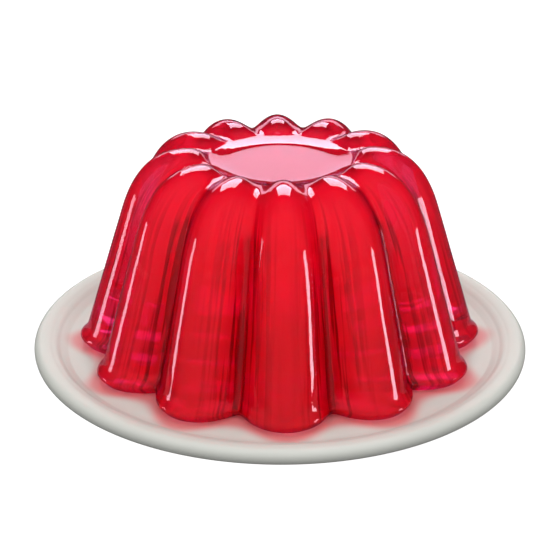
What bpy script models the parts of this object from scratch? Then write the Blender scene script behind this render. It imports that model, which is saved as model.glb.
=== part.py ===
"""A fluted jelly, turned out of its mould onto a low side plate.

Lengths are in metres, angles in radians, +Z is up. The origin is under the middle of the
plate's foot ring. The jelly is lofted between two upright profiles: one follows the crest of a
flute and the other the groove between two flutes. The plate is one turned profile.
"""

from math import cos, exp, hypot, pi, radians, sin, sqrt, tan

import bmesh
import bpy

# Jelly: the flutes, seen from above
FLUTES = 12
FLUTE_TURN = radians(1.9)  # the front flute stands a little to the right of the middle
FLUTE_ARC = 0.344  # a flute's own radius over the distance of its centre from the axis
SIDE_FILLET = radians(1.6)  # half the width over which a groove is rounded, up the side
TOP_FILLET = radians(8.0)  # and over the top, where the flutes end in soft bumps

# Jelly: distances from the axis and heights above its own base
CREST_BASE_RADIUS = 0.0686
GROOVE_BASE_RADIUS = 0.0587
CREST_SHOULDER_HEIGHT = 0.0475
GROOVE_SHOULDER_HEIGHT = 0.0469
CREST_TOP = (0.0308, 0.0700)
GROOVE_TOP = (0.0286, 0.0666)
DISH_TOP = (0.0242, 0.0662)
DISC_EDGE = (0.0155, 0.0648)

# Jelly: slope of its sides, and how far each curve reaches towards the corner between its ends
CREST_DRAFT = radians(17.1)
GROOVE_DRAFT = radians(15.0)
CREST_SHOULDER = (0.39, 0.67)
GROOVE_SHOULDER = (0.73, 0.50)
CREST_DIP = (0.55, 0.50)
GROOVE_DIP = (0.40, 0.40)
CREST_DIP_SLOPE = radians(62.0)
GROOVE_DIP_SLOPE = radians(17.0)
DISH_SLOPE = radians(17.0)
DISH_FILLET = 0.0035

# Jelly: its foot, which spreads under the weight and curls in where it meets the plate
FOOT_HEIGHT = 0.0080
FOOT_SPREAD = 0.0016
FOOT_SPREAD_HEIGHT = 0.0029
FOOT_SPREAD_REACH = 0.0018
FOOT_CURL = 0.0012
FOOT_CURL_HEIGHT = 0.0025

# Plate
PLATE_RADIUS = 0.0850
WELL_HEIGHT = 0.0080  # top of the flat middle, above the table
WELL_RADIUS = 0.0700
WALL = 0.0042
LIP_RADIUS = 0.0027  # half the thickness of the rounded rim
LIP_LIFT = 0.0010  # of the rim's middle above the well
FOOT_RING_RADIUS = 0.0480
FOOT_RING_WIDTH = 0.0045
FOOT_RING_ROUNDING = 0.0012

SEAT_GAP = 0.0003  # between the jelly and the plate

# Fineness of the solids
COLUMNS_PER_FLUTE = 10
FOOT_ROWS = 6
SIDE_ROWS = 3
SHOULDER_ROWS = 8
DIP_ROWS = 5
DISH_ROWS = 3
PLATE_STEPS = 64
LIP_STEPS = 8
RISE_STEPS = 5


def clear_scene():
    for thing in list(bpy.data.objects):
        bpy.data.objects.remove(thing, do_unlink=True)


def add_collection(name):
    collection = bpy.data.collections.new(name)
    bpy.context.scene.collection.children.link(collection)
    return collection


def add_material(name, colour, roughness, **settings):
    """A Principled material. Colour is linear red, green and blue."""
    material = bpy.data.materials.new(name)
    material.use_nodes = True
    shader = material.node_tree.nodes["Principled BSDF"]
    shader.inputs["Base Color"].default_value = (*colour, 1.0)
    shader.inputs["Roughness"].default_value = roughness
    shader.inputs["Metallic"].default_value = 0.0
    for socket, value in settings.items():
        shader.inputs[socket.replace("_", " ")].default_value = value
    return material


def bezier(start, start_handle, end_handle, end, steps):
    """The points of a cubic curve after its start."""
    points = []
    for step in range(1, steps + 1):
        t = step / steps
        weights = ((1 - t) ** 3, 3 * t * (1 - t) ** 2, 3 * t * t * (1 - t), t**3)
        corners = (start, start_handle, end_handle, end)
        points.append(tuple(sum(w * c[i] for w, c in zip(weights, corners)) for i in (0, 1)))
    return points


def jelly_foot(base_radius, draft):
    """The lowest band of a profile, as (radius, height), with its rows closest at the plate."""
    points = []
    for row in range(FOOT_ROWS + 1):
        height = FOOT_HEIGHT * (row / FOOT_ROWS) ** 1.5
        spread = FOOT_SPREAD * exp(-(((height - FOOT_SPREAD_HEIGHT) / FOOT_SPREAD_REACH) ** 2))
        curl = FOOT_CURL * max(0.0, 1 - height / FOOT_CURL_HEIGHT) ** 2
        points.append((base_radius - tan(draft) * height + spread - curl, height))
    return points


def jelly_profile(base_radius, draft, shoulder_height, top, shoulder, dip, dip_slope):
    """A profile from the plate up the side, over the top and down to the disc."""
    slope = tan(draft)
    points = jelly_foot(base_radius, draft)
    for row in range(1, SIDE_ROWS + 1):
        height = FOOT_HEIGHT + (shoulder_height - FOOT_HEIGHT) * row / SIDE_ROWS
        points.append((base_radius - slope * height, height))

    side_end = points[-1]
    rise = shoulder[0] * (top[1] - shoulder_height)
    leave = (side_end[0] - slope * rise, side_end[1] + rise)
    arrive = (top[0] + shoulder[1] * (side_end[0] - top[0]), top[1])
    points += bezier(side_end, leave, arrive, top, SHOULDER_ROWS)
    return points + jelly_dip(top, dip, dip_slope) + jelly_dish()


def jelly_dip(top, dip, dip_slope):
    """From the top of a profile down its inner side, which meets the dish at dip_slope."""
    leave = (top[0] - dip[0] * (top[0] - DISH_TOP[0]), top[1])
    drop = dip[1] * (top[1] - DISH_TOP[1])
    arrive = (DISH_TOP[0] + drop / tan(dip_slope), DISH_TOP[1] + drop)
    return bezier(top, leave, arrive, DISH_TOP, DIP_ROWS)


def jelly_dish():
    """The smooth ring that slopes down to the flat disc, and is the same all round."""
    drop = 0.6 * (DISH_TOP[1] - DISC_EDGE[1])
    leave = (DISH_TOP[0] - drop / tan(DISH_SLOPE), DISH_TOP[1] - drop)
    arrive = (DISC_EDGE[0] + DISH_FILLET, DISC_EDGE[1])
    return bezier(DISH_TOP, leave, arrive, DISC_EDGE, DISH_ROWS)


def flute_share(angle, fillet):
    """How far the surface stands out at this angle off a flute's middle: 1 on its crest, 0 in the groove.

    Seen from above, a flute is an arc of a circle, and the fillet rounds the groove.
    """
    half = pi / FLUTES
    clear = hypot(half - abs(angle), fillet) - fillet
    all_clear = hypot(half, fillet) - fillet
    turn = half * (1 - clear / all_clear)

    def reach(turn):
        return cos(turn) + sqrt(FLUTE_ARC**2 - sin(turn) ** 2)

    return (reach(turn) - reach(half)) / (reach(0) - reach(half))


def jelly_fillets():
    """The fillet of every row of the loft: it widens over the shoulder."""
    side = [SIDE_FILLET] * (FOOT_ROWS + 1 + SIDE_ROWS)
    widening = [(TOP_FILLET - SIDE_FILLET) * row / SHOULDER_ROWS for row in range(1, SHOULDER_ROWS + 1)]
    shoulder = [SIDE_FILLET + more for more in widening]
    return side + shoulder + [TOP_FILLET] * (DIP_ROWS + DISH_ROWS)


def jelly_columns():
    """(direction, angle off its flute's middle) of every column. They are closest at the grooves."""
    columns = []
    for flute in range(FLUTES):
        middle = FLUTE_TURN + 2 * pi * flute / FLUTES - pi / 2
        for column in range(COLUMNS_PER_FLUTE):
            offset = pi / FLUTES * sin(pi * (column / COLUMNS_PER_FLUTE - 0.5))
            columns.append((middle + offset, offset))
    return columns


def add_fan(mesh, ring, height, facing_up):
    """Closes a ring of vertices with triangles round a vertex on the axis."""
    middle = mesh.verts.new((0, 0, height))
    for first, second in zip(ring, ring[1:] + ring[:1]):
        mesh.faces.new((first, second, middle) if facing_up else (second, first, middle))


def make_jelly(collection):
    crest = jelly_profile(
        CREST_BASE_RADIUS, CREST_DRAFT, CREST_SHOULDER_HEIGHT,
        CREST_TOP, CREST_SHOULDER, CREST_DIP, CREST_DIP_SLOPE,
    )
    groove = jelly_profile(
        GROOVE_BASE_RADIUS, GROOVE_DRAFT, GROOVE_SHOULDER_HEIGHT,
        GROOVE_TOP, GROOVE_SHOULDER, GROOVE_DIP, GROOVE_DIP_SLOPE,
    )
    base = WELL_HEIGHT + SEAT_GAP
    columns = jelly_columns()
    shape = bmesh.new()
    rings = []
    for (crest_radius, crest_height), (groove_radius, groove_height), fillet in zip(
        crest, groove, jelly_fillets(), strict=True
    ):
        ring = []
        for direction, offset in columns:
            share = flute_share(offset, fillet)
            radius = groove_radius + share * (crest_radius - groove_radius)
            height = base + groove_height + share * (crest_height - groove_height)
            ring.append(shape.verts.new((radius * cos(direction), radius * sin(direction), height)))
        rings.append(ring)
    for lower, upper in zip(rings, rings[1:]):
        for here in range(len(columns)):
            there = (here + 1) % len(columns)
            shape.faces.new((lower[here], lower[there], upper[there], upper[here]))
    add_fan(shape, rings[0], base, facing_up=False)
    add_fan(shape, rings[-1], base + DISC_EDGE[1], facing_up=True)

    mesh = bpy.data.meshes.new("jelly")
    shape.to_mesh(mesh)
    shape.free()
    mesh.shade_smooth()
    mesh.set_sharp_from_angle(angle=radians(50))
    mesh.materials.append(
        add_material("set gelatine", (0.80, 0.02, 0.03), 0.04, IOR=1.35, Transmission_Weight=1.0)
    )
    jelly = bpy.data.objects.new("jelly", mesh)
    collection.objects.link(jelly)
    return jelly


def plate_profile():
    """(radius, height) from the middle of the well out over the rim and back under to the axis."""
    rim_radius = PLATE_RADIUS - LIP_RADIUS
    rim_height = WELL_HEIGHT + LIP_LIFT
    under = WELL_HEIGHT - WALL
    well_edge = (WELL_RADIUS, WELL_HEIGHT)
    crest = (rim_radius, rim_height + LIP_RADIUS)
    half_rise = (rim_radius - WELL_RADIUS) / 2
    points = [(0.0, WELL_HEIGHT), well_edge]
    points += bezier(
        well_edge, (WELL_RADIUS + half_rise, WELL_HEIGHT),
        (rim_radius - half_rise, crest[1]), crest, RISE_STEPS,
    )
    for step in range(1, LIP_STEPS + 1):
        turn = pi * step / LIP_STEPS
        points.append((rim_radius + LIP_RADIUS * sin(turn), rim_height + LIP_RADIUS * cos(turn)))

    outer = FOOT_RING_RADIUS
    inner = FOOT_RING_RADIUS - FOOT_RING_WIDTH
    rounding = FOOT_RING_ROUNDING
    return points + [
        (WELL_RADIUS, under + rounding / 2),
        (outer + rounding, under),
        (outer, under - rounding),
        (outer, rounding),
        (outer - rounding, 0.0),
        (inner + rounding, 0.0),
        (inner, rounding),
        (inner, under - rounding),
        (inner - rounding, under),
        (0.0, under),
    ]


def make_plate(collection):
    profile = plate_profile()
    mesh = bpy.data.meshes.new("plate")
    steps = [(i, i + 1) for i in range(len(profile) - 1)]
    mesh.from_pydata([(radius, 0.0, height) for radius, height in profile], steps, [])
    mesh.materials.append(add_material("satin glazed china", (0.63, 0.60, 0.55), 0.30))
    plate = bpy.data.objects.new("plate", mesh)
    collection.objects.link(plate)

    turning = plate.modifiers.new("turning", "SCREW")
    turning.axis = "Z"
    turning.angle = 2 * pi
    turning.steps = PLATE_STEPS
    turning.render_steps = PLATE_STEPS
    turning.use_merge_vertices = True
    turning.merge_threshold = 0.00001
    turning.use_smooth_shade = True
    return plate


clear_scene()
moulded_jelly = add_collection("moulded jelly")
make_plate(moulded_jelly)
make_jelly(moulded_jelly)
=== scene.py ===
"""How a moulded jelly on its plate looks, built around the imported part. Lengths are in metres."""

from math import atan2, cos, exp, hypot, pi, radians, sin, sqrt, tan

import bmesh
import bpy
from mathutils import Matrix, Vector, noise


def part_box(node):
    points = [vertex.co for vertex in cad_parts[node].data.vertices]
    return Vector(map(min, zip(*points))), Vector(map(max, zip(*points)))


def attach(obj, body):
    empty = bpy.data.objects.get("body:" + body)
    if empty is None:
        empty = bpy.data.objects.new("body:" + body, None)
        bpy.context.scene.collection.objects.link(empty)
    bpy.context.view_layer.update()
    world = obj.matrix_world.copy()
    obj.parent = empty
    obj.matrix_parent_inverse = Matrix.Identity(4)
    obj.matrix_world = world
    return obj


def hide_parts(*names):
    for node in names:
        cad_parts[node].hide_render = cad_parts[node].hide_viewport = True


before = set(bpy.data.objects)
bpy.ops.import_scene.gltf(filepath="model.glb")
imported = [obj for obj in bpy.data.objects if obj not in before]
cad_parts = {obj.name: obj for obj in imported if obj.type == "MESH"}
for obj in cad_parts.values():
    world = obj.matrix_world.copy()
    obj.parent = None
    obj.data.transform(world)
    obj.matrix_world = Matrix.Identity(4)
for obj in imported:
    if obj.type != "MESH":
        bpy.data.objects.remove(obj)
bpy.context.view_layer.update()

# ---------------------------------------------------------------------------------------------
# The plate: a low round side plate of white china, pressed in a mould and turned on a wheel, so
# it has fine rings on its rim. It stands on a foot ring, and a satin glaze covers it all over.
PLATE_RADIUS = (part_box("plate")[1].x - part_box("plate")[0].x) / 2
WELL_HEIGHT = 0.0080
WELL_RADIUS = 0.0700
PLATE_WALL = 0.0042
LIP_RADIUS = 0.0027
LIP_LIFT = 0.0010
UNDERSIDE_SWEEP = 0.0050  # how far outside the well the underside aims, to arrive level at the lip
FOOT_RING_RADIUS = 0.0480
FOOT_RING_WIDTH = 0.0045
FOOT_RING_ROUNDING = 0.0012
WHEEL_RINGS = ((0.0735, 0.00007), (0.0762, 0.00010), (0.0788, 0.00008))  # (radius, depth)
WHEEL_RING_WIDTH = 0.0007
WELL_RINGS = (0.060, 0.010)  # where the flat well has a row of corners
PLATE_COLUMNS = 192
UNDERSIDE_ROWS, LIP_ROWS, RISE_ROWS = 16, 20, 90


def linear(hex_colour):
    """An sRGB hex colour as linear red, green, blue and alpha."""
    parts = [int(hex_colour[i : i + 2], 16) / 255 for i in (1, 3, 5)]
    return (*(p / 12.92 if p <= 0.04045 else ((p + 0.055) / 1.055) ** 2.4 for p in parts), 1.0)


def add_node(tree, kind, inputs=None, **settings):
    """A node with its settings. Each input is a value, or the output socket that feeds it."""
    node = tree.nodes.new(kind)
    for name, value in settings.items():
        setattr(node, name, value)
    for name, value in (inputs or {}).items():
        if isinstance(value, bpy.types.NodeSocket):
            tree.links.new(value, node.inputs[name])
        else:
            node.inputs[name].default_value = value
    return node


def curve_points(start, start_handle, end_handle, end, steps):
    """The points of a cubic curve after its start."""
    points = []
    for step in range(1, steps + 1):
        t = step / steps
        weights = ((1 - t) ** 3, 3 * t * (1 - t) ** 2, 3 * t * t * (1 - t), t**3)
        corners = (start, start_handle, end_handle, end)
        points.append(tuple(sum(w * c[i] for w, c in zip(weights, corners)) for i in (0, 1)))
    return points


def ring_upwards(mesh, place):
    """Extrudes the selected face and puts each of its corners where place(direction) says."""
    bpy.ops.mesh.extrude_region()
    shape = bmesh.from_edit_mesh(mesh)
    for vertex in shape.verts:
        if vertex.select:
            vertex.co = place(atan2(vertex.co.y, vertex.co.x))
    bmesh.update_edit_mesh(mesh)


rim_middle = PLATE_RADIUS - LIP_RADIUS
lip_height = WELL_HEIGHT + LIP_LIFT
under = WELL_HEIGHT - PLATE_WALL
ring_outside, ring_inside = FOOT_RING_RADIUS, FOOT_RING_RADIUS - FOOT_RING_WIDTH
half_rise = (rim_middle - WELL_RADIUS) / 2
plate_profile = [
    (ring_inside - FOOT_RING_ROUNDING, under),
    (ring_inside - FOOT_RING_ROUNDING / 3, under - FOOT_RING_ROUNDING / 3),
    (ring_inside, under - FOOT_RING_ROUNDING),
    (ring_inside, FOOT_RING_ROUNDING),
    (ring_inside + FOOT_RING_ROUNDING / 3, FOOT_RING_ROUNDING / 3),
    (ring_inside + FOOT_RING_ROUNDING, 0.0),
    (ring_outside - FOOT_RING_ROUNDING, 0.0),
    (ring_outside - FOOT_RING_ROUNDING / 3, FOOT_RING_ROUNDING / 3),
    (ring_outside, FOOT_RING_ROUNDING),
    (ring_outside, under - FOOT_RING_ROUNDING),
    (ring_outside + FOOT_RING_ROUNDING / 3, under - FOOT_RING_ROUNDING / 3),
    (ring_outside + FOOT_RING_ROUNDING, under),
]
lip_under = (rim_middle, lip_height - LIP_RADIUS)
plate_profile += curve_points(
    plate_profile[-1], (WELL_RADIUS, under), (WELL_RADIUS + UNDERSIDE_SWEEP, lip_under[1]),
    lip_under, UNDERSIDE_ROWS,
)
plate_profile += [
    (rim_middle + LIP_RADIUS * sin(turn), lip_height - LIP_RADIUS * cos(turn))
    for turn in (pi * row / LIP_ROWS for row in range(1, LIP_ROWS + 1))
]
rise = curve_points(
    (rim_middle, lip_height + LIP_RADIUS), (rim_middle - half_rise, lip_height + LIP_RADIUS),
    (WELL_RADIUS + half_rise, WELL_HEIGHT), (WELL_RADIUS, WELL_HEIGHT), RISE_ROWS,
)
for radius, height in rise:
    ring_depths = (
        depth * exp(-(((radius - at) / WHEEL_RING_WIDTH) ** 2)) for at, depth in WHEEL_RINGS
    )
    plate_profile.append((radius, height - sum(ring_depths)))
plate_profile += [(radius, WELL_HEIGHT) for radius in WELL_RINGS]

bpy.ops.object.select_all(action="DESELECT")
bpy.ops.mesh.primitive_circle_add(
    vertices=PLATE_COLUMNS, radius=WELL_RINGS[-1], fill_type="NGON", location=(0, 0, under),
    enter_editmode=True,
)
bpy.ops.mesh.flip_normals()
china_plate = bpy.context.object
china_plate.name = china_plate.data.name = "china_plate"
for radius, height in plate_profile:
    ring_upwards(
        china_plate.data,
        lambda direction: (radius * cos(direction), radius * sin(direction), height - under),
    )
bpy.ops.mesh.select_all(action="SELECT")
bpy.ops.mesh.normals_make_consistent(inside=False)
bpy.ops.object.mode_set(mode="OBJECT")
bpy.ops.object.transform_apply(location=True, rotation=True, scale=True)
bpy.ops.object.shade_smooth()

# Satin glazed china: an off-white body under a glaze with a fine orange peel, so its highlights
# are broad and soft. It is a little lighter in patches some 30 mm wide, as the glaze ran.
satin_china = bpy.data.materials.new("satin_glazed_china")
satin_china.use_nodes = True
china_tree = satin_china.node_tree
china_shader = china_tree.nodes["Principled BSDF"]
china_shader.inputs["IOR"].default_value = 1.5
china_place = add_node(china_tree, "ShaderNodeTexCoord").outputs["Object"]
glaze_patches = add_node(
    china_tree, "ShaderNodeTexNoise", {"Vector": china_place, "Scale": 1 / 0.030, "Detail": 3.0}
)
glaze_colour = add_node(
    china_tree, "ShaderNodeMix",
    {"Factor": glaze_patches.outputs["Fac"], "A": linear("#c1c2bb"), "B": linear("#c9cac4")},
    data_type="RGBA",
)
# Close to the jelly's foot the well is painted red: a painted glow in the glaze's colour that
# stands in for the light that comes through the jelly. The foot's outline is taken as a wave round
# the axis, with a crest for each flute.
FLUTES = 12
FLUTE_TURN = radians(1.9)
FOOT_MIDDLE_RADIUS = 0.0652
FOOT_WAVE_HEIGHT = 0.0042
PAINTED_GLOW_REACH = 0.0075
PAINTED_GLOW_STRENGTH = 0.75
plate_place = add_node(china_tree, "ShaderNodeSeparateXYZ", {0: china_place}).outputs
plate_direction = add_node(
    china_tree, "ShaderNodeMath", {0: plate_place["Y"], 1: plate_place["X"]}, operation="ARCTAN2"
)
foot_turn = add_node(
    china_tree, "ShaderNodeMath",
    {0: plate_direction.outputs["Value"], 1: FLUTES, 2: FLUTES * (pi / 2 - FLUTE_TURN)},
    operation="MULTIPLY_ADD",
)
foot_wave = add_node(
    china_tree, "ShaderNodeMath", {0: foot_turn.outputs["Value"]}, operation="COSINE"
)
foot_radius = add_node(
    china_tree, "ShaderNodeMath",
    {0: foot_wave.outputs["Value"], 1: FOOT_WAVE_HEIGHT, 2: FOOT_MIDDLE_RADIUS},
    operation="MULTIPLY_ADD",
)
plan_place = add_node(
    china_tree, "ShaderNodeCombineXYZ", {"X": plate_place["X"], "Y": plate_place["Y"]}
)
from_axis = add_node(
    china_tree, "ShaderNodeVectorMath", {0: plan_place.outputs["Vector"]}, operation="LENGTH"
)
from_foot = add_node(
    china_tree, "ShaderNodeMath",
    {0: from_axis.outputs["Value"], 1: foot_radius.outputs["Value"]}, operation="SUBTRACT",
)
# Painted glow: red light painted into the glaze, strongest at the jelly's foot and fading out a
# little way from it.
painted_red_glow = add_node(
    china_tree, "ShaderNodeMapRange",
    {
        "Value": from_foot.outputs["Value"], "From Min": 0.0, "From Max": PAINTED_GLOW_REACH,
        "To Min": PAINTED_GLOW_STRENGTH, "To Max": 0.0,
    },
    interpolation_type="SMOOTHERSTEP",
)
# The painted red glow is mixed into the glaze's own colour here.
well_colour = add_node(
    china_tree, "ShaderNodeMix",
    {
        "Factor": painted_red_glow.outputs["Result"],
        "A": glaze_colour.outputs["Result"], "B": linear("#c8404a"),
    },
    data_type="RGBA",
)
china_tree.links.new(well_colour.outputs["Result"], china_shader.inputs["Base Color"])
orange_peel = add_node(
    china_tree, "ShaderNodeTexNoise", {"Vector": china_place, "Scale": 1 / 0.0015, "Detail": 2.0}
)
glaze_roughness = add_node(
    china_tree, "ShaderNodeMapRange",
    {"Value": glaze_patches.outputs["Fac"], "To Min": 0.42, "To Max": 0.50},
)
china_tree.links.new(glaze_roughness.outputs["Result"], china_shader.inputs["Roughness"])
glaze_bump = add_node(
    china_tree, "ShaderNodeBump",
    {"Height": orange_peel.outputs["Fac"], "Strength": 0.05, "Distance": 0.0002},
)
china_tree.links.new(glaze_bump.outputs["Normal"], china_shader.inputs["Normal"])
china_plate.data.materials.append(satin_china)

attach(china_plate, "root")
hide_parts("plate")

# ---------------------------------------------------------------------------------------------
# The jelly: gelatine, sugar and red colouring, set in a fluted mould and turned out onto the
# plate. Twelve flutes round over into bumps about a dished top with a flat disc, where the floor
# of the mould was. It sags a little, so its foot spreads over the plate.
FLUTE_ARC = 0.344  # a flute's own radius over the distance of its centre from the axis
SIDE_FILLET = radians(1.6)  # half the width over which a groove is rounded, up the side
TOP_FILLET = radians(8.0)  # and over the top
CREST_BASE_RADIUS = 0.0686
GROOVE_BASE_RADIUS = 0.0587
CREST_SHOULDER_HEIGHT = 0.0475
GROOVE_SHOULDER_HEIGHT = 0.0469
CREST_TOP = (0.0308, 0.0700)
GROOVE_TOP = (0.0286, 0.0666)
DISH_TOP = (0.0242, 0.0662)
DISC_EDGE = (0.0155, 0.0648)
CREST_DRAFT = radians(17.1)
GROOVE_DRAFT = radians(15.0)
# How far a curve runs straight on where it leaves and where it arrives, as a share of its reach.
CREST_SHOULDER = (0.39, 0.67)
GROOVE_SHOULDER = (0.73, 0.50)
CREST_DIP = (0.55, 0.50)
GROOVE_DIP = (0.40, 0.40)
DISH_START = 0.6
CREST_DIP_SLOPE = radians(62)
GROOVE_DIP_SLOPE = radians(17)
DISH_SLOPE = radians(17)
DISH_FILLET = 0.0035
DISC_RINGS = (0.9, 0.75, 0.6, 0.45, 0.3, 0.1)  # as shares of the disc's radius
FOOT_HEIGHT = 0.0080
FOOT_SPREAD = 0.0016
FOOT_SPREAD_HEIGHT = 0.0029
FOOT_SPREAD_REACH = 0.0018
FOOT_CURL = 0.0012
FOOT_CURL_HEIGHT = 0.0025
# The skin's unevenness, as (depth, waves in one radian round, height of a wave).
SKIN_WAVES = ((0.00006, 6, 0.010), (0.00003, 14, 0.005), (0.00003, 30, 0.030))
JELLY_COLUMNS = 480
FOOT_ROWS, SIDE_ROWS, SHOULDER_ROWS, DIP_ROWS, DISH_ROWS = 24, 24, 30, 14, 10
FOOT_CROWDING = 1.4  # how much closer the foot's rows are at the plate
BASE_GAP = 0.0003  # a film of air under the base, which the curl of the foot hides


def jelly_side(base_radius, draft, shoulder_height, top, leave, arrive):
    """(radius, height, fillet) up the side, from the plate to the top of the shoulder."""
    points = []
    for row in range(1, FOOT_ROWS + 1):
        height = FOOT_HEIGHT * (row / FOOT_ROWS) ** FOOT_CROWDING
        spread = FOOT_SPREAD * exp(-(((height - FOOT_SPREAD_HEIGHT) / FOOT_SPREAD_REACH) ** 2))
        curl = FOOT_CURL * max(0.0, 1 - height / FOOT_CURL_HEIGHT) ** 2
        points.append((base_radius - tan(draft) * height + spread - curl, height, SIDE_FILLET))
    for row in range(1, SIDE_ROWS + 1):
        height = FOOT_HEIGHT + (shoulder_height - FOOT_HEIGHT) * row / SIDE_ROWS
        points.append((base_radius - tan(draft) * height, height, SIDE_FILLET))
    side_end = points[-1][:2]
    rise = leave * (top[1] - shoulder_height)
    first_handle = (side_end[0] - tan(draft) * rise, side_end[1] + rise)
    second_handle = (top[0] + arrive * (side_end[0] - top[0]), top[1])
    shoulder = curve_points(side_end, first_handle, second_handle, top, SHOULDER_ROWS)
    widening = (TOP_FILLET - SIDE_FILLET) / len(shoulder)
    return points + [
        (radius, height, SIDE_FILLET + widening * row)
        for row, (radius, height) in enumerate(shoulder, start=1)
    ]


def jelly_inside(top, leave, arrive, slope):
    """(radius, height, fillet) from the top of the shoulder down its inner face to the dish."""
    drop = arrive * (top[1] - DISH_TOP[1])
    dip = curve_points(
        top, (top[0] - leave * (top[0] - DISH_TOP[0]), top[1]),
        (DISH_TOP[0] + drop / tan(slope), DISH_TOP[1] + drop), DISH_TOP, DIP_ROWS,
    )
    return [(*point, TOP_FILLET) for point in dip]


def jelly_dish():
    """(radius, height, fillet) down the dish to the flat disc, and over the disc to its middle."""
    drop = DISH_START * (DISH_TOP[1] - DISC_EDGE[1])
    dish = curve_points(
        DISH_TOP, (DISH_TOP[0] - drop / tan(DISH_SLOPE), DISH_TOP[1] - drop),
        (DISC_EDGE[0] + DISH_FILLET, DISC_EDGE[1]), DISC_EDGE, DISH_ROWS,
    )
    disc = [(DISC_EDGE[0] * share, DISC_EDGE[1]) for share in DISC_RINGS]
    return [(*point, TOP_FILLET) for point in dish + disc]


def from_crest(direction):
    """The angle from the crest of the flute that lies in this direction."""
    return (direction - FLUTE_TURN + pi / 2 + pi / FLUTES) % (2 * pi / FLUTES) - pi / FLUTES


def flute_share(angle, fillet):
    """1 on the crest of a flute and 0 in the groove. Seen from above a flute is a round arc."""
    half = pi / FLUTES
    clear = hypot(half - abs(angle), fillet) - fillet
    turn = half * (1 - clear / (hypot(half, fillet) - fillet))
    reach = [cos(a) + sqrt(FLUTE_ARC**2 - sin(a) ** 2) for a in (turn, half, 0.0)]
    return (reach[0] - reach[1]) / (reach[2] - reach[1])


crest = jelly_side(
    CREST_BASE_RADIUS, CREST_DRAFT, CREST_SHOULDER_HEIGHT, CREST_TOP, *CREST_SHOULDER
)
crest += jelly_inside(CREST_TOP, *CREST_DIP, CREST_DIP_SLOPE) + jelly_dish()
groove = jelly_side(
    GROOVE_BASE_RADIUS, GROOVE_DRAFT, GROOVE_SHOULDER_HEIGHT, GROOVE_TOP, *GROOVE_SHOULDER
)
groove += jelly_inside(GROOVE_TOP, *GROOVE_DIP, GROOVE_DIP_SLOPE) + jelly_dish()

jelly_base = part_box("jelly")[0].z
bpy.ops.object.select_all(action="DESELECT")
bpy.ops.mesh.primitive_circle_add(
    vertices=JELLY_COLUMNS, radius=0.05, fill_type="NGON", location=(0, 0, 0),
    enter_editmode=True,
)
set_jelly = bpy.context.object
set_jelly.name = set_jelly.data.name = "set_jelly"


def on_jelly(direction, crest_point, groove_point):
    """A point of the jelly's skin, between the crest and the groove."""
    share = flute_share(from_crest(direction), crest_point[2])
    radius = groove_point[0] + share * (crest_point[0] - groove_point[0])
    height = groove_point[1] + share * (crest_point[1] - groove_point[1])
    around = Vector((cos(direction), sin(direction), 0))
    up = Vector((0, 0, height))
    for depth, waves_round, wave_height in SKIN_WAVES:
        radius -= depth * (1 + noise.noise(around * waves_round + up / wave_height))
    return Vector((radius * cos(direction), radius * sin(direction), jelly_base + height))


shape = bmesh.from_edit_mesh(set_jelly.data)
for vertex in shape.verts:
    direction = atan2(vertex.co.y, vertex.co.x)
    point = on_jelly(
        direction,
        (CREST_BASE_RADIUS - FOOT_CURL, 0, SIDE_FILLET), (GROOVE_BASE_RADIUS - FOOT_CURL, 0),
    )
    point.z = WELL_HEIGHT + BASE_GAP
    vertex.co = point
bmesh.update_edit_mesh(set_jelly.data)
for crest_point, groove_point in zip(crest, groove):
    ring_upwards(set_jelly.data, lambda direction: on_jelly(direction, crest_point, groove_point))
bpy.ops.mesh.select_all(action="SELECT")
bpy.ops.mesh.normals_make_consistent(inside=False)
bpy.ops.object.mode_set(mode="OBJECT")
bpy.ops.object.shade_smooth()

# Painted shade: the dark upright lines that fine ripples from the mould's wall show through the
# gelatine are painted into its colour. They lie thickest beside the grooves, a painted dark line
# runs in each groove, and the inner side of each bump has painted shade too. Three attributes say
# where a point lies among them.
PAINTED_STREAKS_END = 0.067  # the height where the painted streaks have faded out
PAINTED_STREAKS_FADE = 0.012  # and the height over which they fade
PAINTED_SHADE_CROWDING = 0.55
BUMP_SHADE_RISE = 0.0025  # the height over the dish at which the shade is full
BUMP_SHADE_EDGE = 0.002  # how far outside the bumps' tops it ends
BUMP_SHADE_FADE = 0.004


def clamped(share):
    """The share, held between 0 and 1."""
    return min(1.0, max(0.0, share))


beside_groove = set_jelly.data.attributes.new("beside_groove", "FLOAT", "POINT")
bump_side = set_jelly.data.attributes.new("bump_side", "FLOAT", "POINT")
around_and_up = set_jelly.data.attributes.new("around_and_up", "FLOAT_VECTOR", "POINT")
for vertex in set_jelly.data.vertices:
    direction = atan2(vertex.co.y, vertex.co.x)
    radius, height = vertex.co.xy.length, vertex.co.z - jelly_base
    below_shoulder = clamped((jelly_base + PAINTED_STREAKS_END - vertex.co.z) / PAINTED_STREAKS_FADE)
    nearness = (1 - flute_share(from_crest(direction), SIDE_FILLET)) ** PAINTED_SHADE_CROWDING
    beside_groove.data[vertex.index].value = below_shoulder * nearness
    above_dish = clamped((height - DISH_TOP[1]) / BUMP_SHADE_RISE)
    inside_top = clamped((CREST_TOP[0] + BUMP_SHADE_EDGE - radius) / BUMP_SHADE_FADE)
    bump_side.data[vertex.index].value = above_dish * inside_top
    around_and_up.data[vertex.index].vector = (cos(direction), sin(direction), vertex.co.z)

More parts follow.
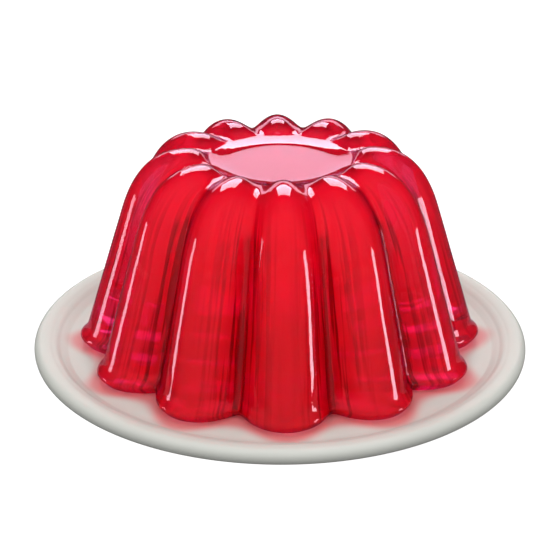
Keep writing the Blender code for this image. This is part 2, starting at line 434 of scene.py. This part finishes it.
# Set gelatine: clear, wet and glossy, with an IOR a little above water's. It takes up green and
# some blue all through and has a fine haze, so a thin edge is pink and a thick part deep red.
PAINTED_STREAK_WIDTH = 0.0016
PAINTED_STREAK_LENGTH = 0.040
SIDE_RADIUS = 0.065
GROOVE_LINE_THINNING = 7.0
GROOVE_LINE_STRENGTH = 0.8
BUMP_SHADE_STRENGTH = 0.75
gelatine = bpy.data.materials.new("set_gelatine")
gelatine.use_nodes = True
gelatine_tree = gelatine.node_tree
gelatine_shader = gelatine_tree.nodes["Principled BSDF"]
place_on_skin, groove_nearness, bump_inside = (
    add_node(gelatine_tree, "ShaderNodeAttribute", attribute_name=attribute.name).outputs
    for attribute in (around_and_up, beside_groove, bump_side)
)
# The painted shade streaks: thin upright noise lines, darkening the gelatine's colour.
streak_place = add_node(
    gelatine_tree, "ShaderNodeMapping",
    {
        "Vector": place_on_skin["Vector"],
        "Scale": (SIDE_RADIUS / PAINTED_STREAK_WIDTH, SIDE_RADIUS / PAINTED_STREAK_WIDTH, 1 / PAINTED_STREAK_LENGTH),
    },
)
streak_noise = add_node(
    gelatine_tree, "ShaderNodeTexNoise",
    {"Vector": streak_place.outputs["Vector"], "Scale": 1.0, "Detail": 2.0},
)
painted_streak_line = add_node(
    gelatine_tree, "ShaderNodeMapRange",
    {"Value": streak_noise.outputs["Fac"], "From Min": 0.48, "From Max": 0.60},
)
# A painted dark line of shade along each groove.
in_groove = add_node(
    gelatine_tree, "ShaderNodeMath",
    {0: groove_nearness["Fac"], 1: GROOVE_LINE_THINNING}, operation="POWER",
)
painted_groove_line = add_node(
    gelatine_tree, "ShaderNodeMath",
    {0: in_groove.outputs["Value"], 1: GROOVE_LINE_STRENGTH}, operation="MULTIPLY",
)
# Painted shade on the inner side of each bump, added to the groove's painted line.
bump_shade = add_node(
    gelatine_tree, "ShaderNodeMath",
    {0: bump_inside["Fac"], 1: BUMP_SHADE_STRENGTH, 2: painted_groove_line.outputs["Value"]},
    operation="MULTIPLY_ADD",
)
painted_shade_amount = add_node(
    gelatine_tree, "ShaderNodeMath",
    {0: painted_streak_line.outputs["Result"], 1: groove_nearness["Fac"], 2: bump_shade.outputs["Value"]},
    operation="MULTIPLY_ADD", use_clamp=True,
)
# The painted shade turns the gelatine's colour towards a dark red.
painted_shade_colour = add_node(
    gelatine_tree, "ShaderNodeMix",
    {"Factor": painted_shade_amount.outputs["Value"], "A": (1, 1, 1, 1), "B": (0.17, 0.03, 0.05, 1)},
    data_type="RGBA",
)
gelatine_tree.links.new(painted_shade_colour.outputs["Result"], gelatine_shader.inputs["Base Color"])
gelatine_shader.inputs["IOR"].default_value = 1.35
gelatine_shader.inputs["Transmission Weight"].default_value = 1.0
gelatine_shader.inputs["Roughness"].default_value = 0.0
# A thin wet film lies on the outer side of the skin. It darkens where it is seen edge on, which
# outlines each flute.
gelatine_shader.inputs["Coat Roughness"].default_value = 0.0
gelatine_shader.inputs["Coat IOR"].default_value = 1.03
gelatine_shader.inputs["Coat Tint"].default_value = (0.77, 0.685, 0.785, 1)
inner_side = add_node(gelatine_tree, "ShaderNodeNewGeometry").outputs["Backfacing"]
outer_side = add_node(gelatine_tree, "ShaderNodeMath", {0: 1.0, 1: inner_side}, operation="SUBTRACT")
gelatine_tree.links.new(outer_side.outputs["Value"], gelatine_shader.inputs["Coat Weight"])
dye = add_node(
    gelatine_tree, "ShaderNodeVolumeAbsorption", {"Color": (0.983, 0.0, 0.38, 1.0), "Density": 78.0}
)
haze = add_node(
    gelatine_tree, "ShaderNodeVolumeScatter",
    {"Color": (1.0, 0.05, 0.12, 1.0), "Density": 30.0, "Anisotropy": 0.3},
)
dyed_haze = add_node(
    gelatine_tree, "ShaderNodeAddShader", {0: dye.outputs["Volume"], 1: haze.outputs["Volume"]}
)
gelatine_tree.links.new(
    dyed_haze.outputs["Shader"], gelatine_tree.nodes["Material Output"].inputs["Volume"]
)
set_jelly.data.materials.append(gelatine)

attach(set_jelly, "root")
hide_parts("jelly")

# ---------------------------------------------------------------------------------------------
# The floor: a wide sheet of matt white paper, lit so evenly that it shows no shadow. Only the
# camera sees it, so the light on the jelly and the plate comes from the room alone.
bpy.ops.object.select_all(action="DESELECT")
bpy.ops.mesh.primitive_plane_add(size=12.0, location=(0, 0, 0))
floor = bpy.context.object
floor.name = "floor"
paper = bpy.data.materials.new("white_paper")
paper.use_nodes = True
paper_shader = paper.node_tree.nodes["Principled BSDF"]
paper_shader.inputs["Base Color"].default_value = linear("#f4f4f4")
paper_shader.inputs["Roughness"].default_value = 0.9
paper_shader.inputs["Specular IOR Level"].default_value = 0.1
paper_shader.inputs["Emission Color"].default_value = (1, 1, 1, 1)
paper_shader.inputs["Emission Strength"].default_value = 1.0
floor.data.materials.append(paper)
floor.visible_diffuse = floor.visible_glossy = floor.visible_transmission = False
floor.visible_shadow = False

# ---------------------------------------------------------------------------------------------
# The light: a pale room, a bright soft ceiling that shines down through the jelly, a white panel
# behind that shows in its dish, a small bright panel that shows in its bumps, a soft one over the
# plate, and a tall strip on each side that draws a line down each flute.
world = bpy.data.worlds.new("pale_room")
bpy.context.scene.world = world
world.use_nodes = True
room = world.node_tree
view_direction = add_node(room, "ShaderNodeTexCoord").outputs["Generated"]
toward = add_node(room, "ShaderNodeSeparateXYZ", {0: view_direction}).outputs
above_table = add_node(
    room, "ShaderNodeMapRange", {"Value": toward["Z"], "From Min": -0.08, "From Max": 0.02}
)
# Through the jelly the room is brighter towards the back, and below the table's edge.
back_wall = add_node(
    room, "ShaderNodeMapRange",
    {"Value": toward["Y"], "From Min": -0.3, "From Max": 0.3, "To Min": 0.06, "To Max": 0.66},
)
seen_through = add_node(
    room, "ShaderNodeMix",
    {"Factor": above_table.outputs["Result"], "A": 0.80, "B": back_wall.outputs["Result"]},
)
# In reflections, and as light on the plate, it is brighter towards the front.
front_wall = add_node(
    room, "ShaderNodeMapRange",
    {"Value": toward["Y"], "From Min": -0.3, "From Max": 0.3, "To Min": 0.66, "To Max": 0.10},
)
seen_directly = add_node(
    room, "ShaderNodeMix",
    {"Factor": above_table.outputs["Result"], "A": 0.22, "B": front_wall.outputs["Result"]},
)
room_light = add_node(
    room, "ShaderNodeMix",
    {
        "Factor": add_node(room, "ShaderNodeLightPath").outputs["Is Transmission Ray"],
        "A": seen_directly.outputs["Result"], "B": seen_through.outputs["Result"],
    },
)
room.nodes["Background"].inputs["Color"].default_value = (1, 1, 1, 1)
room.links.new(room_light.outputs["Result"], room.nodes["Background"].inputs["Strength"])


def add_panel(name, place, target, size, radiance, shown_to, lit_only=None):
    """A rectangular light at place that faces target. shown_to names the rays that see it, and
    lit_only the one piece that it lights."""
    width, height = size
    light = bpy.data.lights.new(name, "AREA")
    light.shape = "RECTANGLE"
    light.size, light.size_y = width, height
    light.energy = radiance * pi * width * height
    panel = bpy.data.objects.new(name, light)
    bpy.context.scene.collection.objects.link(panel)
    panel.location = place
    panel.rotation_euler = (Vector(target) - Vector(place)).to_track_quat("-Z", "Y").to_euler()
    panel.visible_camera = False
    panel.visible_diffuse = "diffuse" in shown_to
    panel.visible_glossy = "glossy" in shown_to
    panel.visible_transmission = "transmission" in shown_to
    if lit_only:
        panel.light_linking.receiver_collection = lit_only


lit_jelly = bpy.data.collections.new("lit_jelly")
lit_jelly.objects.link(set_jelly)
lit_plate = bpy.data.collections.new("lit_plate")
lit_plate.objects.link(china_plate)
add_panel(
    "ceiling_shine", (0, 0.59, 0.75), (0, 0, 0.07), (0.70, 0.52), 23.0, ("glossy",), lit_jelly
)
add_panel("ceiling_light", (0, 0.0, 0.95), (0, 0, 0.05), (1.60, 1.40), 7.6, ("transmission",))
for name, place, radiance in (
    ("left_strip", (-0.377, 0.004, 0.040), 15.5), ("right_strip", (0.381, -0.105, 0.040), 26.0)
):
    add_panel(name, place, (0, -0.05, 0.040), (0.07, 0.14), radiance, ("glossy",), lit_jelly)
add_panel("plate_light", (0, -0.10, 0.75), (0, 0, 0), (1.6, 1.6), 1.45, ("diffuse",), lit_plate)
add_panel("back_panel", (0, 1.0, 0.42), (0, 0, 0.07), (1.2, 0.24), 5.6, ("glossy", "transmission"))

# ---------------------------------------------------------------------------------------------
# The camera: a long lens, a little above the jelly and straight in front of it, level to within
# a fraction of a degree. The light passes many surfaces, so it is followed far.
CAMERA_PLACE = (0.0, -0.520, 0.2686)
LOOK_ASIDE = radians(0.119)
LOOK_DOWN = radians(24.533)
CAMERA_LEAN = radians(0.146)
lens = bpy.data.cameras.new("camera")
lens.lens = 108.1
lens.sensor_width = 36.0
camera = bpy.data.objects.new("camera", lens)
bpy.context.scene.collection.objects.link(camera)
camera.matrix_world = (
    Matrix.Translation(CAMERA_PLACE)
    @ Matrix.Rotation(LOOK_ASIDE, 4, "Z")
    @ Matrix.Rotation(pi / 2 - LOOK_DOWN, 4, "X")
    @ Matrix.Rotation(CAMERA_LEAN, 4, "Z")
)
bpy.context.scene.camera = camera
bpy.context.scene.view_settings.view_transform = "Standard"
bpy.context.scene.cycles.max_bounces = 24
bpy.context.scene.cycles.transmission_bounces = 24
bpy.context.scene.cycles.glossy_bounces = 16
bpy.context.scene.cycles.diffuse_bounces = 6
bpy.context.scene.cycles.volume_bounces = 12
